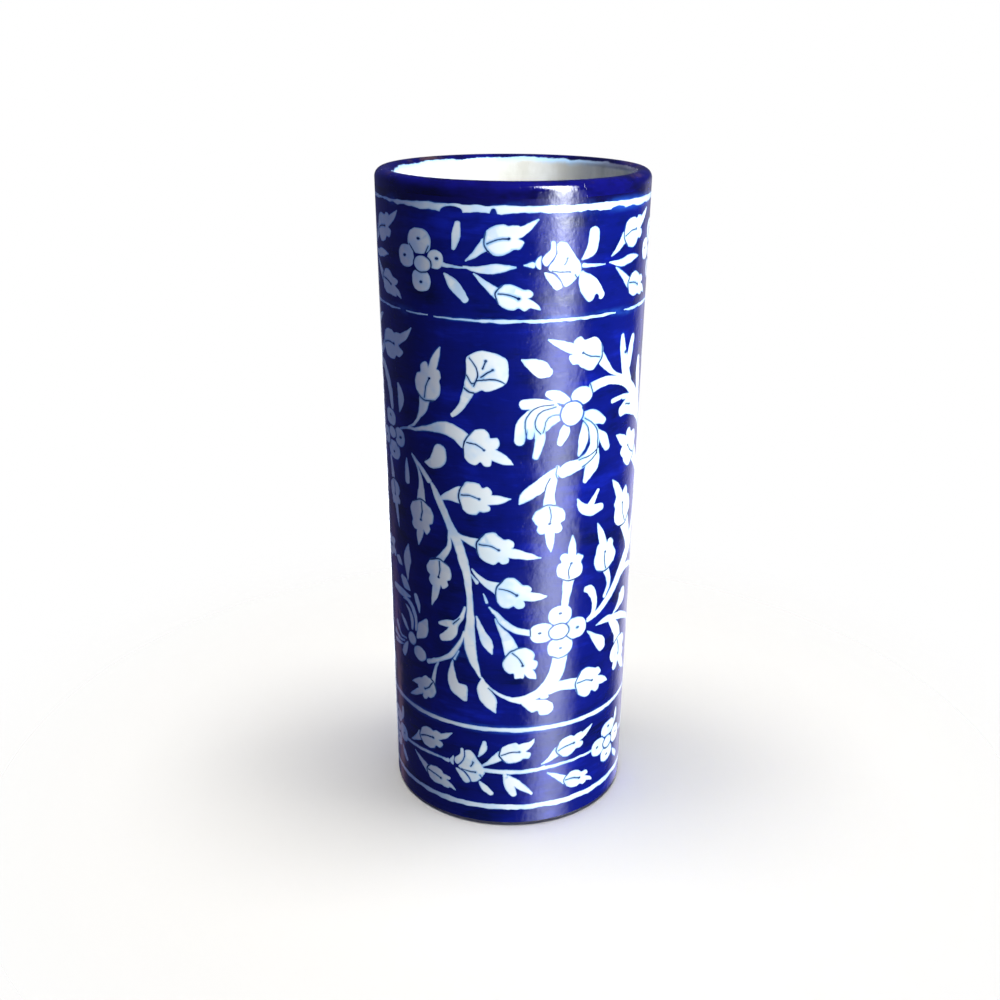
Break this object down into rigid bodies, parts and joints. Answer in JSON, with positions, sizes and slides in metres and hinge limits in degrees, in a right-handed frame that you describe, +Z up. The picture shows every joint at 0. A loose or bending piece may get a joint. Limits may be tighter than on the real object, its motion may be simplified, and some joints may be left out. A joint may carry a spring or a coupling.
{
  "type": "painted pottery vase",
  "caption": "Tall open-mouthed cylindrical pottery vase with a slight flare, a rolled rim and a flat foot ring, painted with a white floral scroll on cobalt blue.",
  "frame": {"origin": "centre of the footprint on the surface that the vase stands on", "axes": "+Z up along the vase's axis; the decoration's best side faces -Y"},
  "size_m": [0.1026, 0.1026, 0.255],
  "materials": {
    "paste": "bare fired quartz paste, matte and slightly gritty",
    "slip": "thin white slip under the glaze, matte",
    "cream_glaze": "clear glaze over white slip, creamy and glossy",
    "rim_glaze": "deep cobalt, glossy, thick on the lip",
    "white_glaze": "white slip reserved under clear glaze, glossy",
    "cobalt_glaze": "brushed cobalt blue under clear glaze, glossy"
  },
  "bodies": {
    "root": {"body_wall": "paste", "base_slab": "paste", "foot_ring": "paste", "rim_coil": "paste", "slip_coat": "slip", "interior_glaze": "cream_glaze", "rim_glaze": "rim_glaze", "line_under_rim": "white_glaze", "upper_border": "cobalt_glaze", "line_above_field": "white_glaze", "main_field": "cobalt_glaze", "line_below_field": "white_glaze", "lower_border": "cobalt_glaze", "line_above_foot": "white_glaze", "foot_band": "cobalt_glaze"}
  },
  "joints": []
}
